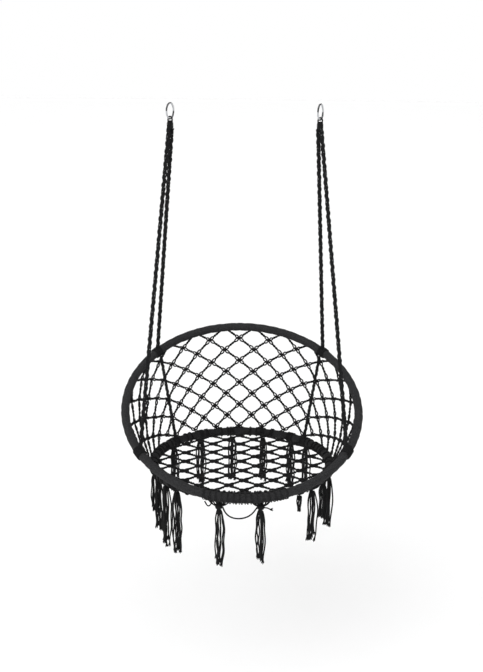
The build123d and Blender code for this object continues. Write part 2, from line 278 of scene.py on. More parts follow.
def steel_material(colour):
    """Bright plated steel with faint wear."""
    found = bpy.data.materials.get("Bright Steel")
    if found:
        return found
    material, tree, shader = new_material("Bright Steel")
    place = tree.nodes.new("ShaderNodeTexCoord").outputs["Object"]
    scuff = noise_node(tree, place, 900.0, 4.0, 0.65)
    cloud = noise_node(tree, place, 60.0, 2.0)
    rough = times(tree, times(tree, scuff, cloud), 0.42)
    link(tree, plus(tree, rough, 0.05), shader.inputs["Roughness"])
    darker = tuple(0.82 * part for part in colour)
    link(tree, mix_colours(tree, cloud, rgba(darker), rgba(colour)), shader.inputs["Base Color"])
    shader.inputs["Metallic"].default_value = 1.0
    add_bump(tree, shader, scuff, 0.00003, 0.3)
    return material


def powder_coat_material(colour):
    """Fine orange-peel powder coat on the bare tube."""
    found = bpy.data.materials.get("Powder Coat")
    if found:
        return found
    material, tree, shader = new_material("Powder Coat")
    place = tree.nodes.new("ShaderNodeTexCoord").outputs["Object"]
    peel = noise_node(tree, place, 700.0, 2.0)
    lighter = tuple(min(1.0, 1.8 * part) for part in colour)
    link(tree, mix_colours(tree, peel, rgba(colour), rgba(lighter)), shader.inputs["Base Color"])
    link(tree, plus(tree, times(tree, peel, 0.2), 0.35), shader.inputs["Roughness"])
    add_bump(tree, shader, peel, 0.0001)
    return material


# ---- making pieces

def only(obj):
    """Deselect all and make one object the active, selected one."""
    bpy.ops.object.select_all(action="DESELECT")
    obj.select_set(True)
    bpy.context.view_layer.objects.active = obj


def give(obj, material, body, nodes=()):
    """Finish a piece: its material, the body it moves with and the CAD nodes it stands for."""
    obj.data.materials.clear()
    obj.data.materials.append(material)
    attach(obj, body)
    if nodes:
        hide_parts(*nodes)
    return obj


def read_uvs(mesh):
    """The active UV layer, and its values as one flat table."""
    layer = mesh.uv_layers.active.data
    table = np.zeros(len(layer) * 2)
    layer.foreach_get("uv", table)
    return layer, table


def cord_mesh(name, runs, thickness, sides=6):
    """Round cords along runs of points, as one mesh whose UV map holds metres along and turns around."""
    curve = bpy.data.curves.new(name, "CURVE")
    curve.dimensions = "3D"
    curve.bevel_depth = thickness / 2
    curve.bevel_resolution = (sides - 4) // 2
    curve.use_fill_caps = True
    lengths = []
    for run in runs:
        spline = curve.splines.new("POLY")
        count = len(run.points)
        spline.points.add(count - 1)
        rows = np.ones((count, 4))
        rows[:, :3] = np.array([tuple(point) for point in run.points])
        spline.points.foreach_set("co", rows.ravel())
        if run.scale is not None:
            spline.points.foreach_set("radius", np.array(run.scale, float))
        spline.use_cyclic_u = run.closed
        steps = np.diff(rows[:, :3], axis=0)
        lengths += [float(np.linalg.norm(steps, axis=1).sum())] * (count * sides)
    obj = bpy.data.objects.new(name, curve)
    bpy.context.scene.collection.objects.link(obj)
    only(obj)
    bpy.ops.object.convert(target="MESH")
    obj = bpy.context.view_layer.objects.active
    mesh = obj.data
    caps = 2 * sides * sum(not run.closed for run in runs)
    lengths = [0.0] * caps + lengths
    if len(mesh.vertices) != len(lengths):
        raise RuntimeError(f"{name}: {len(mesh.vertices)} vertices, not {len(lengths)}")
    layer, table = read_uvs(mesh)
    corner = np.zeros(len(mesh.loops), int)
    mesh.loops.foreach_get("vertex_index", corner)
    table[0::2] *= np.array(lengths)[corner]
    layer.foreach_set("uv", table)
    bpy.ops.object.shade_smooth()
    return obj


def move_vertices(obj, places):
    obj.data.vertices.foreach_set("co", np.asarray(places, float).ravel())
    obj.data.update()


# ---- where things are

@lru_cache(maxsize=None)
def node_box(node):
    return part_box(node)


def tassel_nodes():
    return sorted(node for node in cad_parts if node.startswith("tassel_") and node != "tassel_hitches")


@lru_cache(maxsize=None)
def seat_ring():
    """Centre line of the level seat ring, from the CAD box of its wrap."""
    low, high = node_box("seat_ring_wrap")
    size = high - low
    wrap = size.z / 2
    return Ring((low + high) / 2, size.x / 2 - wrap, 0.0, wrap)


@lru_cache(maxsize=None)
def back_ring():
    """Centre line of the leaning back ring; both rings have the same wrap."""
    low, high = node_box("back_ring_wrap")
    size = high - low
    wrap = seat_ring().wrap
    lean = math.atan2(size.z - 2 * wrap, size.y - 2 * wrap)
    return Ring((low + high) / 2, size.x / 2 - wrap, lean, wrap)


def ring_back(ring):
    """The ring's own way back, which leans with it."""
    return Vector((0, math.cos(ring.lean), math.sin(ring.lean)))


def ring_frame(ring, azimuth):
    """Point of a ring's centre line, the way out from its middle, and the ring's own up."""
    turn = math.radians(azimuth)
    up = Vector((0, -math.sin(ring.lean), math.cos(ring.lean)))
    out = Vector((1, 0, 0)) * math.sin(turn) + ring_back(ring) * math.cos(turn)
    return ring.centre + out * ring.radius, out, up


def ring_point(ring, azimuth):
    return ring_frame(ring, azimuth)[0]


def front_azimuth(ring, x):
    """Azimuth of the point at x in the ring's front half."""
    return math.copysign(180, x) - math.degrees(math.asin(x / ring.radius)) if x else 180.0


def capsule_ends(node, thickness, side, outward, backward):
    """Top and bottom end centres of a straight CAD rope; outward and backward say how it runs downwards."""
    low, high = node_box(node)
    inset = Vector((1, 1, 1)) * (thickness / 2)
    low, high = low + inset, high - inset
    outer, inner = (low.x, high.x) if side < 0 else (high.x, low.x)
    top = Vector((inner if outward else outer, low.y if backward else high.y, high.z))
    foot = Vector((outer if outward else inner, high.y if backward else low.y, low.z))
    return top, foot


# ---- ropes

def nurbs_curve(name, points, resolution):
    """Curve data with one smooth NURBS spline for the given control points."""
    curve = bpy.data.curves.new(name, "CURVE")
    curve.dimensions = "3D"
    spline = curve.splines.new("NURBS")
    spline.points.add(len(points) - 1)
    for target, point in zip(spline.points, points):
        target.co = (*point, 1.0)
    spline.order_u = 3
    spline.use_endpoint_u = True
    spline.resolution_u = resolution
    return curve


def nurbs_points(name, points):
    """Points read along a smooth NURBS route."""
    route = bpy.data.objects.new(name, nurbs_curve(name, points, 24))
    bpy.context.scene.collection.objects.link(route)
    mesh = bpy.data.meshes.new_from_object(route)
    read = [vertex.co.copy() for vertex in mesh.vertices]
    bpy.data.objects.remove(route)
    bpy.data.meshes.remove(mesh)
    return read


def on_circle(centre, radius, angle, z):
    """Point on a level circle about a centre, at height z."""
    return Vector((centre.x + radius * math.cos(angle), centre.y + radius * math.sin(angle), z))


def straight(start, end, parts):
    return [start.lerp(end, step / parts) for step in range(parts + 1)]


def even_points(points, step):
    """The same line, with points a step apart."""
    rows = np.array([tuple(point) for point in points])
    reach = np.concatenate([[0.0], np.cumsum(np.linalg.norm(np.diff(rows, axis=0), axis=1))])
    count = max(2, int(reach[-1] / step) + 1)
    wanted = np.linspace(0.0, reach[-1], count)
    spots = [Vector(tuple(np.interp(at, reach, rows[:, axis]) for axis in range(3))) for at in wanted]
    return spots, reach[-1]


def plait_runs(points, thickness, step, start):
    """Three strands of two twisted cords each, plaited along a line round a filling."""
    line, length = even_points(points, step / 8)
    swing, lift = thickness * 0.34, thickness * 0.18
    cord = thickness * 0.21
    runs = []
    along = (line[-1] - line[0]).normalized()
    side = along.cross(Vector((0, 1, 0))).normalized()
    front = side.cross(along).normalized()
    for strand in range(3):
        for twin in (0, math.pi):
            spots = []
            for index, place in enumerate(line):
                reach = length * index / (len(line) - 1)
                phase = math.pi * reach / step * (2 / 3) + strand * math.tau / 3 + start
                x = swing * math.sin(phase)
                y = lift * math.sin(2 * phase)
                roll = math.tau * reach / (step * 2.1) + twin + strand
                spots.append(place + side * (x + cord * 0.55 * math.cos(roll))
                             + front * (y + cord * 0.55 * math.sin(roll)))
            runs.append(Run(spots))
    runs.append(Run(line, [1.35] * len(line)))
    return runs, length


class ChairRopes(bpy.types.Operator):
    """Plait the four ropes and the two stays between the rings"""
    bl_idname = "chair.ropes"
    bl_label = "Plaited ropes"

    def execute(self, context):
        sizes = context.scene.chair_sizes
        material = cord_material("Rope Cord")
        plan = []
        for name, side in SIDES:
            body = f"ropes_{name}"
            for end, backward in (("front", False), ("rear", True)):
                plan.append((f"{end}_rope_{name}", sizes.rope_thickness, side, True, backward, body,
                             ROPE_FOOT_GAP))
            plan.append((f"rear_stay_{name}", sizes.stay_thickness, side, False, False, "chair",
                         STAY_FOOT_GAP))
        for index, (node, thick, side, outward, backward, body, below) in enumerate(plan):
            top, foot = capsule_ends(node, thick, side, outward, backward)
            along = (foot - top).normalized()
            top, foot = top - along * ROPE_TOP_GAP, foot + along * below
            route = nurbs_points(node + "_route", [top, top.lerp(foot, 0.5), foot])
            step = sizes.plait_step * thick / sizes.rope_thickness
            runs, length = plait_runs(route, thick, step, index * 1.7)
            piece = cord_mesh(node + "_plait", runs, thick * 0.27)
            give(piece, material, body, [node])
        return {"FINISHED"}


class ChairLooseCord(bpy.types.Operator):
    """Hang the thin loose cord between the two front knots"""
    bl_idname = "chair.loose_cord"
    bl_label = "Loose cord"

    def execute(self, context):
        knots = [node_box("front_knot_left"), node_box("front_knot_right")]
        depth = sum(low.y + high.y for low, high in knots) / 4
        left, right = knots[0][1].x + 0.0028, knots[1][0].x - 0.0020
        top = lashing_underside(0.0)
        shape = (
            (0.0, 0.000, -0.012), (0.056, -0.002, -0.029), (0.234, -0.003, -0.045),
            (0.477, -0.003, -0.050), (0.720, -0.003, -0.044), (0.897, -0.002, -0.030),
            (1.0, 0.000, -0.013),
        )
        points = [(left + (right - left) * share, depth + y, top + z) for share, y, z in shape]
        curve = nurbs_curve("loose_cord_run", points, 16)
        curve.bevel_depth = 0.0024
        curve.bevel_resolution = 3
        curve.use_fill_caps = True
        piece = bpy.data.objects.new("loose_cord_run", curve)
        context.scene.collection.objects.link(piece)
        material = cord_material("Fringe Cord")
        give(piece, material, "chair", ["loose_cord"])
        return {"FINISHED"}


# ---- hanger rings, rope heads

class ChairHangerRings(bpy.types.Operator):
    """Two bright steel hanger rings, turned nearly edge-on"""
    bl_idname = "chair.hanger_rings"
    bl_label = "Hanger rings"

    def execute(self, context):
        wire = context.scene.chair_sizes.hanger_wire / 2
        material = steel_material(context.scene.chair_colours.steel)
        for name, _ in SIDES:
            low, high = node_box(f"hanger_ring_{name}")
            half = (high - low) / 2
            radius = half.z - wire
            turn = math.acos((half.x - wire) / radius)
            bpy.ops.object.select_all(action="DESELECT")
            bpy.ops.mesh.primitive_torus_add(
                location=(low + high) / 2, rotation=(math.pi / 2, 0, turn),
                major_radius=radius, minor_radius=wire, major_segments=96, minor_segments=24)
            piece = context.view_layer.objects.active
            piece.name = f"hanger_ring_{name}_bright"
            bpy.ops.object.transform_apply(location=True, rotation=True, scale=True)
            bpy.ops.object.shade_smooth()
            give(piece, material, "hangers", [f"hanger_ring_{name}"])
        return {"FINISHED"}


class ChairRopeHeads(bpy.types.Operator):
    """Rope eyes over the hanger wire, and the whipping wound below them"""
    bl_idname = "chair.rope_heads"
    bl_label = "Rope heads"

    def execute(self, context):
        sizes = context.scene.chair_sizes
        rope = cord_material("Rope Cord")
        for name, _ in SIDES:
            low, high = node_box(f"rope_eye_{name}")
            ring_low, ring_high = node_box(f"hanger_ring_{name}")
            whip_low, whip_high = node_box(f"rope_whipping_{name}")
            middle = (low + high) / 2
            wire = sizes.hanger_wire / 2
            wire_z = ring_low.z + wire
            half = (ring_high - ring_low) / 2
            turn = math.acos((half.x - wire) / (half.z - wire))
            out = Vector((math.sin(turn), -math.cos(turn), 0))
            across = Vector((math.cos(turn), math.sin(turn), 0))
            up = Vector((0, 0, 1))
            bend = high.z - wire_z - 0.0025
            centre = Vector((middle.x, middle.y, wire_z))
            leg, lay = 0.36, 0.00125
            eye_runs = []
            for strand in range(4):
                offset = strand * math.tau / 4
                points = []
                for index in range(61):
                    share = index / 60
                    if share < leg:
                        place = centre - out * bend - up * (0.024 * (1 - share / leg))
                        outward = -out
                    elif share > 1 - leg:
                        place = centre + out * bend - up * (0.024 * ((share - 1 + leg) / leg))
                        outward = out
                    else:
                        angle = math.pi * (share - leg) / (1 - 2 * leg)
                        outward = -out * math.cos(angle) + up * math.sin(angle)
                        place = centre + outward * bend
                    roll = offset + math.tau * 3.5 * share
                    points.append(place + (outward * math.cos(roll) + across * math.sin(roll)) * lay)
                eye_runs.append(Run(points))
            eye = cord_mesh(f"rope_eye_{name}_cords", eye_runs, 0.0024)
            give(eye, rope, "rope_eyes", [f"rope_eye_{name}"])

            radius = (whip_high.x - whip_low.x) / 2
            top_z = wire_z - 0.0052
            cord = 0.0022
            tall = top_z - whip_low.z + 0.002
            turns = int(tall / cord)
            points = []
            for index in range(turns * 20 + 1):
                share = index / (turns * 20)
                angle = math.tau * index / 20
                swell = min(1.0, 0.55 + 1.6 * share)
                wide = (radius - cord / 2) * swell
                narrow = wide * (0.70 + 0.30 * min(1.0, share * 1.6))
                points.append(Vector((middle.x, middle.y, top_z - tall * share))
                              + out * (wide * math.cos(angle)) + across * (narrow * math.sin(angle)))
            core = []
            for index in range(9):
                share = index / 8
                core.append(Vector((middle.x, middle.y, top_z - 0.006 - (tall - 0.008) * share)))
            whip = cord_mesh(f"rope_whipping_{name}_wound", [Run(points)], cord, 8)
            filling = cord_mesh(f"rope_whipping_{name}_core", [Run(core)], radius * 1.5, 16)
            only(whip)
            filling.select_set(True)
            bpy.ops.object.join()
            give(whip, rope, "rope_eyes", [f"rope_whipping_{name}"])
        return {"FINISHED"}


# ---- rings of the chair

def wound_ring(name, ring, pitch, relief, around, per_turn, wander=0.0):
    """A ring wound close with cord: a torus shaped into one long helical ridge."""
    turns = round(math.tau * ring.radius / pitch)
    major = turns * per_turn
    bpy.ops.object.select_all(action="DESELECT")
    bpy.ops.mesh.primitive_torus_add(
        location=(0, 0, 0), major_radius=ring.radius, minor_radius=ring.wrap - relief,
        major_segments=major, minor_segments=around)
    piece = bpy.context.view_layer.objects.active
    piece.name = name
    mesh = piece.data
    flat = np.zeros(len(mesh.vertices) * 3)
    mesh.vertices.foreach_get("co", flat)
    flat = flat.reshape(-1, 3)
    turn = np.arctan2(flat[:, 1], flat[:, 0])
    reach = np.hypot(flat[:, 0], flat[:, 1]) - ring.radius
    section = np.arctan2(flat[:, 2], reach)
    drift = wander * np.sin(turn * 23.0 + np.sin(turn * 7.0) * 2.0)
    phase = turns * turn / math.tau + section / math.tau + drift
    height = np.abs(np.sin(math.pi * phase)) ** 0.7
    slack = 1.0 - 0.25 * wander * (1 + np.sin(turn * 57.0 + 1.3 * np.sin(turn * 11.0))) / 2
    grown = ring.wrap - relief + relief * height * slack
    out = np.stack([np.cos(turn), np.sin(turn), np.zeros_like(turn)], 1)
    placed = out * (ring.radius + grown * np.cos(section))[:, None]
    placed[:, 2] = grown * np.sin(section)
    lean = np.array(Matrix.Rotation(ring.lean, 3, "X"))
    move_vertices(piece, placed @ lean.T + np.array(ring.centre))
    layer, table = read_uvs(mesh)
    along_ring, round_section = table[0::2].copy(), table[1::2].copy()
    table[0::2] = round_section * math.tau * ring.wrap
    table[1::2] = along_ring * turns
    layer.foreach_set("uv", table)
    bpy.ops.object.shade_smooth()
    return piece


class ChairRingWraps(bpy.types.Operator):
    """Cord wound close round both steel rings"""
    bl_idname = "chair.ring_wraps"
    bl_label = "Ring wraps"

    def execute(self, context):
        sizes = context.scene.chair_sizes
        back = back_ring()
        seat = seat_ring()
        smooth = cord_material("Ring Wrap Cord")
        coarse = cord_material("Seat Wrap Cord")
        piece = wound_ring("back_ring_wound", back, sizes.back_wind, 0.0016, 18, 8, 0.15)
        give(piece, smooth, "chair", ["back_ring_wrap"])
        piece = wound_ring("seat_ring_wound", seat, sizes.seat_wind, 0.0019, 20, 10, 0.35)
        give(piece, coarse, "chair", ["seat_ring_wrap"])
        return {"FINISHED"}


class ChairRingTubes(bpy.types.Operator):
    """Powder coat on the two steel ring tubes inside their wraps"""
    bl_idname = "chair.ring_tubes"
    bl_label = "Ring tubes"

    def execute(self, context):
        material = powder_coat_material(context.scene.chair_colours.tube)
        for node in ("back_ring_tube", "seat_ring_tube"):
            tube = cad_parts[node]
            for slot in tube.material_slots:
                slot.material = material
        return {"FINISHED"}


def hitch_run(ring, azimuth, length, radius, cord, phase=0.0):
    """A cord wound close round a ring for a short length."""
    turns = max(2, round(length / cord))
    half = math.degrees((length - cord) / ring.radius) / 2
    count = turns * 16 + 1
    points = []
    for index in range(count):
        share = index / (count - 1)
        place, out, up = ring_frame(ring, azimuth - half + 2 * half * share)
        angle = math.tau * turns * share + phase
        points.append(place + out * (radius * math.cos(angle)) + up * (radius * math.sin(angle)))
    return Run(points)


class ChairHitches(bpy.types.Operator):
    """Cord hitches that hold the ropes, the stays and the fringe on the rings"""
    bl_idname = "chair.hitches"
    bl_label = "Hitches"

    def execute(self, context):
        back = back_ring()
        seat = seat_ring()
        material = cord_material("Hitch Cord")
        cord = 0.0038
        for name, side in SIDES:
            for kind, ring, azimuth, length in (("front", back, 121.5, 0.036), ("rear", back, 48.6, 0.030),
                                                ("stay", seat, 52.0, 0.024)):
                node = f"{kind}_hitch_{name}"
                run = hitch_run(ring, side * azimuth, length, ring.wrap + cord / 2, cord, phase=side)
                piece = cord_mesh(node + "_wound", [run], cord, 8)
                give(piece, material, "chair", [node])
        runs = []
        for node in tassel_nodes():
            low, high = node_box(node)
            x, y = (low.x + high.x) / 2, (low.y + high.y) / 2
            if node.startswith("tassel_front") or node in ("tassel_back_1", "tassel_back_6"):
                continue
            azimuth = math.degrees(math.atan2(x - seat.centre.x, y - seat.centre.y))
            for part in (-1, 0, 1):
                runs.append(hitch_run(seat, azimuth + part * 1.15, 0.0058, seat.wrap + 0.0015, 0.003,
                                       phase=part + x * 40))
        piece = cord_mesh("tassel_hitches_wound", runs, 0.003)
        give(piece, material, "chair", ["tassel_hitches"])
        return {"FINISHED"}


# ---- lashing and front knots

def lashing_section(x):
    """Centres of both rings in one cross-cut at about x from the middle, and the cut's direction."""
    ends = []
    for ring in (back_ring(), seat_ring()):
        place = ring_point(ring, front_azimuth(ring, x))
        depth = math.sqrt(ring.radius ** 2 - x ** 2)
        ends.append((place, (Vector((1, 0, 0)) + ring_back(ring) * (x / depth)).normalized()))
    (high, high_run), (low, low_run) = ends
    along = (high_run + low_run).normalized()
    offset = (low - high).dot(along) / 2
    return high + high_run * offset, low - low_run * offset, along


def lashing_underside(x):
    high, low, _ = lashing_section(x)
    return min(high.z, low.z) - LASHING_REACH


class ChairLashing(bpy.types.Operator):
    """Cord lashed round both rings where they meet in front"""
    bl_idname = "chair.lashing"
    bl_label = "Front lashing"

    def execute(self, context):
        cord = context.scene.chair_sizes.lashing_cord
        ring = seat_ring()
        radius = ring.wrap + 0.0008 + cord / 2
        bands, pitch, spread = 7, 0.017, 0.0024
        points = []
        for band in range(-bands, bands + 1):
            for turn in range(2):
                for step in range(24):
                    share = step / 24
                    x = band * pitch + (turn + share - 1) * spread
                    if turn == 1 and step > 12 and band < bands:
                        x += (pitch - 2 * spread) * (step - 12) / 12
                    points.append(self.on_rings(x, math.tau * share, radius))
        material = cord_material("Lashing Cord")
        piece = cord_mesh("front_lashing_wound", [Run(points)], cord, 8)
        give(piece, material, "chair", ["front_lashing"])
        return {"FINISHED"}

    def on_rings(self, x, angle, radius):
        """Point of a loop round both rings."""
        high, low, along = lashing_section(x)
        across = low - high
        across = (across - along * across.dot(along)).normalized()
        normal = along.cross(across)
        centre = low if math.cos(angle) >= 0 else high
        return centre + across * (radius * math.cos(angle)) + normal * (radius * math.sin(angle))


class ChairFrontKnots(bpy.types.Operator):
    """Barrel knots that gather the cord tails under the lashing"""
    bl_idname = "chair.front_knots"
    bl_label = "Front knots"

    def execute(self, context):
        material = cord_material("Hitch Cord")
        for name, side in SIDES:
            low, high = node_box(f"front_knot_{name}")
            middle = (low + high) / 2
            radius = (high.x - low.x) / 2
            cord = 0.0042
            tall = high.z - low.z - cord
            turns = 5
            points = []
            for index in range(turns * 16 + 1):
                share = index / (turns * 16)
                angle = math.tau * index / 16 + side
                wide = (radius + 0.001) * (0.80 + 0.26 * math.sin(math.pi * share))
                points.append(on_circle(middle, wide, angle, high.z - cord / 2 - tall * share))
            tails = []
            rng = random.Random(7 + side)
            for index in range(7):
                angle = math.tau * index / 7
                top = on_circle(middle, 0.005, angle, high.z + 0.004)
                end = on_circle(middle, 0.0035, angle + 0.9, low.z - 0.010)
                tails.append(Run(straight(top, end, 8)))
            for index in range(10):
                reach = (index - 4.5) * 0.0075 + rng.uniform(-0.001, 0.001)
                start = Vector((middle.x + reach, middle.y + rng.uniform(-0.009, 0.009), high.z + 0.010))
                end = Vector((middle.x + 0.10 * reach, middle.y, high.z - 0.008))
                drop = Vector((0, 0, -0.0055 * min(1.0, abs(reach) / 0.02)))
                tails.append(Run([point + drop * math.sin(math.pi * step / 8)
                                  for step, point in enumerate(straight(start, end, 8))]))
            if side > 0:
                tails += self.stub(Vector((middle.x + 0.006, middle.y - 0.006, high.z - 0.011)))
            else:
                tails.append(self.small_loop(middle.x - 0.044, high.z + 0.013, middle.y - 0.012))
            piece = cord_mesh(f"front_knot_{name}_wound", [Run(points)] + tails, cord, 8)
            give(piece, material, "chair", [f"front_knot_{name}"])
        return {"FINISHED"}

    def stub(self, start):
        """Short cord end that sticks out sideways, with a frayed tip."""
        end = start + Vector((0.024, 0, -0.005))
        line = [point + Vector((0, 0, 0.003 * math.sin(math.pi * step / 6)))
                for step, point in enumerate(straight(start, end, 6))]
        fibres = []
        for index in range(9):
            angle = math.tau * index / 9
            out = Vector((0, math.cos(angle), math.sin(angle)))
            strand = [end + out * (0.0012 + 0.0038 * part / 4) + Vector((0.0085 * part / 4 - 0.001, 0, 0))
                      for part in range(5)]
            fibres.append(Run(strand, [0.5, 0.5, 0.42, 0.32, 0.2]))
        return [Run(line)] + fibres

    def small_loop(self, x, z, y):
        """Small slack loop of cord that shows below the rings."""
        return Run([Vector((x + 0.024 * step / 12, y, z - 0.016 * math.sin(math.pi * step / 12)))
                    for step in range(13)])


# ---- nets

def net_side(start, end, normal, eye, depth, twist, first=1.0, last=1.0):
    """Two cords that part into an eye near each end of a net side and twist together between."""
    run = end - start
    side = run.cross(normal).normalized()
    face = side.cross(run).normalized()
    eye_share = 0.34
    pair = []
    for sign in (twist, -twist):
        points = []
        for index in range(19):
            share = index / 18
            near = min(share, 1 - share)
            if near < eye_share:
                open_share = near / eye_share
                if share > 0.5:
                    open_share = 1 - open_share
                swing = eye * max(0.0, math.sin(math.pi * open_share)) ** 1.2
                swing *= first if share < 0.5 else last
                lift = depth * math.cos(math.pi * open_share)
            else:
                middle = (share - eye_share) / (1 - 2 * eye_share)
                swing = -0.45 * eye * math.sin(math.tau * middle)
                lift = -depth * math.cos(math.tau * middle)
            points.append(start + run * share + side * (sign * swing) + face * (sign * lift))
        pair.append(Run(points))
    return pair


def net_end(ring, azimuth, cord, phase):
    """Coil that ends a net cord on a ring, pressed into the ring's wrap."""
    return hitch_run(ring, azimuth, END_COIL, ring.wrap + cord / 2 - END_SINK, cord, phase)


def net_knot(place, down, normal, radius):
    """Two short bands of cord, crossed over a net crossing."""
    side = down.cross(normal).normalized()
    bands = []
    for slant in (0.75, -0.75):
        across = (side + down * slant).normalized()
        points = [place + across * (radius * 1.25 * math.cos(math.tau * index / 10))
                  + normal * (radius * 0.85 * math.sin(math.tau * index / 10)) for index in range(10)]
        bands.append(Run(points, None, True))
    return bands


class ChairBackNet(bpy.types.Operator):
    """Doubled-cord net between the two rings"""
    bl_idname = "chair.back_net"
    bl_label = "Back net"

    def execute(self, context):
        sizes = context.scene.chair_sizes
        back = back_ring()
        seat = seat_ring()
        rng = random.Random(11)
        column, row_share, hold, columns = 16.2, 0.105, 48.6, 16
        rows = int(1 / row_share) + 2
        places = {}

        def place(index, row):
            """Point of the net: index counts half columns round from the middle, row counts down."""
            if (index, row) not in places:
                azimuth = index * column / 2
                top, foot = ring_point(back, azimuth), ring_point(seat, azimuth)
                gap = (foot - top).length
                held = min(abs(azimuth), hold)
                pitch = row_share * (ring_point(seat, held) - ring_point(back, held)).length
                reach = min(row * pitch, gap)
                spot = top + (foot - top) * (reach / gap)
                if 0 < reach < gap - 0.02:
                    spot += Vector([rng.uniform(-0.0016, 0.0016) for _ in range(3)])
                places[(index, row)] = (spot, reach, gap)
            return places[(index, row)]

        ribs, bands, ends = [], [], {}
        for panel in range(columns):
            middle = 2 * panel - (columns - 1)
            for row in range(rows):
                near = row % 2 == 0
                for edge in (middle - 1, middle + 1):
                    first = (middle if near else edge, row)
                    last = (edge if near else middle, row + 1)
                    start, start_reach, _ = place(*first)
                    end, end_reach, gap = place(*last)
                    if (end - start).length < NET_GAP or start_reach > gap - 0.016:
                        continue
                    normal = (ring_point(seat, first[0] * column / 2) - seat.centre)
                    normal = normal.cross(Vector((0, 0, 1))).cross(end - start).normalized()
                    run = (end - start).normalized()
                    if row == 0:
                        start = start + run * (back.wrap - 0.003)
                    if end_reach >= gap - 0.001:
                        end = end - run * (seat.wrap - 0.003)
                        ends[last[0]] = net_end(seat, last[0] * column / 2, sizes.net_cord, last[0])
                    if (end - start).length < 0.010:
                        continue
                    eye = sizes.net_eye * min(1.0, (end - start).length / 0.036)
                    ribs += net_side(start, end, normal, eye, 0.0018, 1 if near else -1,
                                     0.3 if row == 0 else 1.0, 0.3 if end_reach >= gap - 0.001 else 1.0)
        for (index, row), (spot, reach, gap) in places.items():
            if reach < 0.02 or reach > gap - 0.02:
                continue
            azimuth = index * column / 2
            down = (ring_point(seat, azimuth) - ring_point(back, azimuth)).normalized()
            normal = (ring_point(seat, azimuth) - seat.centre).normalized()
            normal = (normal - down * normal.dot(down)).normalized()
            bands += net_knot(spot, down, normal, KNOT_RADIUS)
        material = cord_material("Net Cord")
        piece = cord_mesh("back_net_cords", ribs + bands + list(ends.values()), sizes.net_cord)
        give(piece, material, "chair", ["back_net"])
        return {"FINISHED"}


class ChairSeatNet(bpy.types.Operator):
    """Doubled-cord net across the seat ring"""
    bl_idname = "chair.seat_net"
    bl_label = "Seat net"

    def execute(self, context):
        sizes = context.scene.chair_sizes
        seat = seat_ring()
        half_width, half_depth = 0.0475, 0.041
        rim = seat.radius - seat.wrap + 0.002
        edge = seat.radius
        columns, rows = int(edge / half_width) + 2, int(edge / half_depth) + 2
        rng = random.Random(5)
        nodes = {}

        def place(column, row):
            key = (column, row)
            if key not in nodes:
                spot = Vector((column * half_width, row * half_depth, 0))
                if spot.length < rim - 0.03:
                    spot += Vector((rng.uniform(-0.002, 0.002), rng.uniform(-0.002, 0.002), 0))
                nodes[key] = spot
            return nodes[key]

        up = Vector((0, 0, 1))
        ribs, bands, ends, used = [], [], [], set()
        for column in range(-columns, columns):
            for row in range(-rows, rows):
                rising = (column + row) % 2 == 0
                low, high = (row, row + 1) if rising else (row + 1, row)
                keys = ((column, low), (column + 1, high))
                start, end = place(*keys[0]), place(*keys[1])
                if min(start.length, end.length) > rim - NET_GAP:
                    continue
                used.update(key for key in keys if nodes[key].length < rim - NET_GAP)
                for first, last in ((start, end), (end, start)):
                    if last.length > rim - NET_GAP:
                        met = self.meet(first, last, rim)
                        if last is end:
                            end = met
                        else:
                            start = met
                        azimuth = math.degrees(math.atan2(met.x, met.y))
                        ends.append(net_end(seat, azimuth, sizes.net_cord, azimuth))
                if (end - start).length > 0.008:
                    ribs += net_side(seat.centre + start, seat.centre + end, up,
                                     sizes.net_eye * 1.25, 0.0016, 1 if rising else -1)
        for key in used:
            bands += net_knot(seat.centre + nodes[key], Vector((0, 1, 0)), up, KNOT_RADIUS)
        material = cord_material("Net Cord")
        piece = cord_mesh("seat_net_cords", ribs + bands + ends, sizes.net_cord)
        give(piece, material, "chair", ["seat_net"])
        return {"FINISHED"}

    def meet(self, inside, outside, radius):
        """Where the line from an inside point to an outside one meets a circle about the middle."""
        step = outside - inside
        a, b, c = step.length_squared, 2 * inside.dot(step), inside.length_squared - radius ** 2
        share = (-b + math.sqrt(max(0.0, b * b - 4 * a * c))) / (2 * a)
        return inside + step * share


# ---- fringe

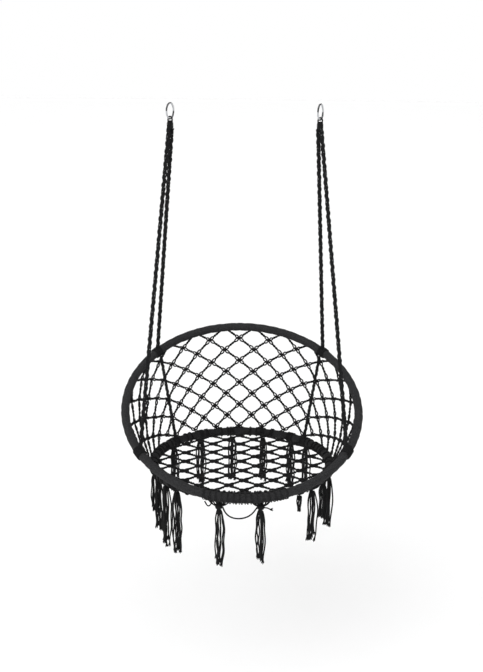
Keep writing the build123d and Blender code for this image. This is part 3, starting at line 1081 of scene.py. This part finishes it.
def tassel_runs(head, length, width, count, cord, seed):
    """Wavy cords from a head down to frayed ends; lengths, waves and bows differ from cord to cord."""
    rng = random.Random(seed)
    cords, fibres = [], []
    for index in range(count):
        angle = math.tau * (index * 0.618 + rng.uniform(-0.08, 0.08))
        share = math.sqrt((index + 0.5) / count)
        top = 0.0070 * share
        bottom = (width / 2 - 0.0035) * min(1.0, share)
        if index < count - 2:
            bow = rng.uniform(0.0, 0.0025)
        else:
            bow = rng.uniform(0.004, 0.0080) * min(1.0, length / 0.15)
        reach = length * (1.0 if index == count - 1 else rng.uniform(0.86, 1.0))
        steps = max(6, int(reach / 0.006))
        wave = rng.uniform(0.0008, 0.0020)
        turns = rng.uniform(1.2, 2.6) * length / 0.17
        phase = rng.uniform(0, math.tau)
        points = []
        for step in range(steps + 1):
            at = step / steps
            spread = top + (bottom - top) * min(1.0, at * 5.0) ** 0.7 + bow * math.sin(math.pi * at) ** 0.8
            sway = wave * min(1.0, at * 3)
            points.append(Vector((
                head.x + spread * math.cos(angle) + sway * math.sin(math.tau * turns * at + phase),
                head.y + spread * math.sin(angle) + sway * math.cos(math.tau * turns * 0.8 * at + phase),
                head.z + TASSEL_TOP - (reach + TASSEL_TOP - TASSEL_BELL) * at)))
        swell = [1.0] * (len(points) - 2) + [1.1, 1.35]
        cords.append(Run(points, swell))
        end, before = points[-1], points[-2]
        along = (end - before).normalized()
        side = along.cross(Vector((0, 1, 0.01))).normalized()
        face = along.cross(side).normalized()
        for fibre in range(11):
            turn = math.tau * fibre / 11 + rng.uniform(-0.2, 0.2)
            flare = rng.uniform(0.0014, 0.0042)
            drop = rng.uniform(0.007, 0.0105)
            out = side * math.cos(turn) + face * math.sin(turn)
            strand = [end + out * (cord * 0.34) - along * 0.003 + (out * flare) * (part / 4) ** 1.2
                      + along * ((drop + 0.003) * part / 4) for part in range(5)]
            fibres.append(Run(strand, [0.52, 0.56, 0.50, 0.38, 0.20]))
    return cords, fibres


class ChairTassels(bpy.types.Operator):
    """Fringe of cord tassels with frayed ends"""
    bl_idname = "chair.tassels"
    bl_label = "Tassels"

    def execute(self, context):
        sizes = context.scene.chair_sizes
        material = cord_material("Fringe Cord")
        for seed, node in enumerate(tassel_nodes()):
            low, high = node_box(node)
            width = high.x - low.x
            head = Vector(((low.x + high.x) / 2, (low.y + high.y) / 2, high.z - 0.007))
            length = head.z - low.z
            count = sizes.tassel_cords if length > 0.08 else 5
            cords, fibres = tassel_runs(head, length, width, count, sizes.tassel_cord, seed)
            cuff = []
            for index in range(3 * 16 + 1):
                turn = math.tau * index / 16
                cuff.append(on_circle(head, 0.0062, turn, head.z + 0.001 - 0.0030 * index / 16))
            piece = cord_mesh(f"{node}_cords", cords + [Run(cuff)] + fibres, sizes.tassel_cord)
            give(piece, material, f"{node}_swinging", [node])
        return {"FINISHED"}


# ---- stage

class ChairStage(bpy.types.Operator):
    """Camera, soft light and a plain pale floor"""
    bl_idname = "chair.stage"
    bl_label = "Stage"

    def execute(self, context):
        scene = context.scene
        sizes = scene.chair_sizes
        self.camera(scene)
        low, _ = cad_box
        bpy.ops.object.select_all(action="DESELECT")
        bpy.ops.mesh.primitive_circle_add(vertices=128, radius=60.0, fill_type="NGON",
                                          location=(0, 0, low[2] - sizes.floor_drop))
        floor = context.view_layer.objects.active
        floor.name = "studio_floor"
        bpy.ops.object.transform_apply(location=True, rotation=True, scale=True)
        floor.data.materials.append(self.floor_material(scene.chair_colours.floor))
        self.lamp("key_light", (-2.2, -2.6, 1.6), 2.2, 5)
        self.lamp("fill_light", (2.6, -1.8, 0.8), 2.0, 2)
        self.lamp("back_light", (0.4, 2.8, 1.2), 2.2, 2)
        scene.world = self.studio_world()
        scene.view_settings.view_transform = "Standard"
        return {"FINISHED"}

    def camera(self, scene):
        """A camera in front, a little left and above, looking slightly down."""
        pitch, yaw, roll = 0.2568, 0.0368, 0.0107
        ahead = Vector((math.sin(yaw) * math.cos(pitch), math.cos(yaw) * math.cos(pitch), -math.sin(pitch)))
        right = Vector((math.cos(yaw), -math.sin(yaw), 0))
        up = right.cross(ahead)
        rolled = right * math.cos(roll) + up * math.sin(roll)
        up = up * math.cos(roll) - right * math.sin(roll)
        lens = bpy.data.cameras.new("chair_camera")
        lens.sensor_fit = "HORIZONTAL"
        lens.sensor_width = 36
        lens.lens = 76.73
        view = bpy.data.objects.new("chair_camera", lens)
        turn = Matrix((rolled, up, -ahead)).transposed().to_4x4()
        view.matrix_world = Matrix.Translation((-0.1241, -3.2408, 0.1157)) @ turn
        scene.collection.objects.link(view)
        scene.camera = view

    def studio_world(self):
        """Even white light; bright metal sees it shaded overhead, as in a studio with a dark ceiling."""
        world = bpy.data.worlds.new("Soft Studio")
        world.use_nodes = True
        tree = world.node_tree
        ground = tree.nodes["Background"]
        place = tree.nodes.new("ShaderNodeTexCoord").outputs["Generated"]
        glow = 0.50
        for aim, power, spread in (((-0.50, -0.55, 0.67), 3.0, 5.0), ((0.70, -0.45, 0.55), 0.8, 3.0)):
            dot = tree.nodes.new("ShaderNodeVectorMath")
            dot.operation = "DOT_PRODUCT"
            link(tree, place, dot.inputs[0])
            dot.inputs[1].default_value = aim
            lobe = math_node(tree, "POWER", math_node(tree, "MAXIMUM", dot.outputs["Value"], 0.0), spread)
            glow = math_node(tree, "ADD", math_node(tree, "MULTIPLY", lobe, power), glow)
        lit = tree.nodes.new("ShaderNodeCombineColor")
        for socket in lit.inputs:
            link(tree, glow, socket)
        split = tree.nodes.new("ShaderNodeSeparateXYZ")
        link(tree, place, split.inputs[0])
        ramp = tree.nodes.new("ShaderNodeValToRGB")
        ramp.color_ramp.elements[0].position = 0.0
        ramp.color_ramp.elements[0].color = (0.55, 0.55, 0.55, 1)
        ramp.color_ramp.elements[1].position = 0.95
        ramp.color_ramp.elements[1].color = (0.5, 0.5, 0.5, 1)
        for at, grey in ((0.035, 0.05), (0.55, 0.02), (0.75, 0.12)):
            stop = ramp.color_ramp.elements.new(at)
            stop.color = (grey, grey, grey, 1)
        link(tree, split.outputs["Z"], ramp.inputs["Fac"])
        ray = tree.nodes.new("ShaderNodeLightPath").outputs
        light = mix_colours(tree, ray["Is Glossy Ray"], lit.outputs[0], ramp.outputs["Color"])
        link(tree, mix_colours(tree, ray["Is Camera Ray"], light, (1, 1, 1, 1)), ground.inputs["Color"])
        return world

    def lamp(self, name, place, size, power):
        light = bpy.data.lights.new(name, "AREA")
        light.size = size
        light.energy = power
        obj = bpy.data.objects.new(name, light)
        obj.location = place
        aim = Vector((0, 0, -0.9)) - Vector(place)
        obj.rotation_euler = aim.to_track_quat("-Z", "Y").to_euler()
        bpy.context.scene.collection.objects.link(obj)

    def floor_material(self, colour):
        material, tree, shader = new_material("Pale Floor")
        place = tree.nodes.new("ShaderNodeTexCoord").outputs["Object"]
        cloud = noise_node(tree, place, 1.5, 3.0)
        paler = tuple(min(1.0, 1.03 * part) for part in colour)
        link(tree, mix_colours(tree, cloud, rgba(colour), rgba(paler)), shader.inputs["Base Color"])
        shader.inputs["Roughness"].default_value = 0.9
        return material


class ChairPanel(bpy.types.Panel):
    """Buttons for every piece of the chair"""
    bl_idname = "VIEW3D_PT_hanging_chair"
    bl_label = "Hanging Chair"
    bl_space_type = "VIEW_3D"
    bl_region_type = "UI"
    bl_category = "Hanging Chair"

    def draw(self, context):
        for operator in OPERATORS:
            self.layout.operator(operator.bl_idname)
        for group in (context.scene.chair_sizes, context.scene.chair_colours):
            for name in group.__annotations__:
                self.layout.prop(group, name)


OPERATORS = (
    ChairStage, ChairRopes, ChairLooseCord, ChairHangerRings, ChairRopeHeads, ChairRingWraps,
    ChairRingTubes, ChairHitches, ChairLashing, ChairFrontKnots, ChairBackNet, ChairSeatNet, ChairTassels,
)


def register():
    for item in (ChairSizes, ChairColours, *OPERATORS, ChairPanel):
        bpy.utils.register_class(item)
    bpy.types.Scene.chair_sizes = bpy.props.PointerProperty(type=ChairSizes)
    bpy.types.Scene.chair_colours = bpy.props.PointerProperty(type=ChairColours)


def unregister():
    del bpy.types.Scene.chair_colours
    del bpy.types.Scene.chair_sizes
    for item in reversed((ChairSizes, ChairColours, *OPERATORS, ChairPanel)):
        bpy.utils.unregister_class(item)


def main():
    register()
    bpy.ops.chair.stage()
    bpy.ops.chair.ropes()
    bpy.ops.chair.loose_cord()
    bpy.ops.chair.hanger_rings()
    bpy.ops.chair.rope_heads()
    bpy.ops.chair.ring_wraps()
    bpy.ops.chair.ring_tubes()
    bpy.ops.chair.hitches()
    bpy.ops.chair.lashing()
    bpy.ops.chair.front_knots()
    bpy.ops.chair.back_net()
    bpy.ops.chair.seat_net()
    bpy.ops.chair.tassels()


if __name__ == "__main__":
    main()
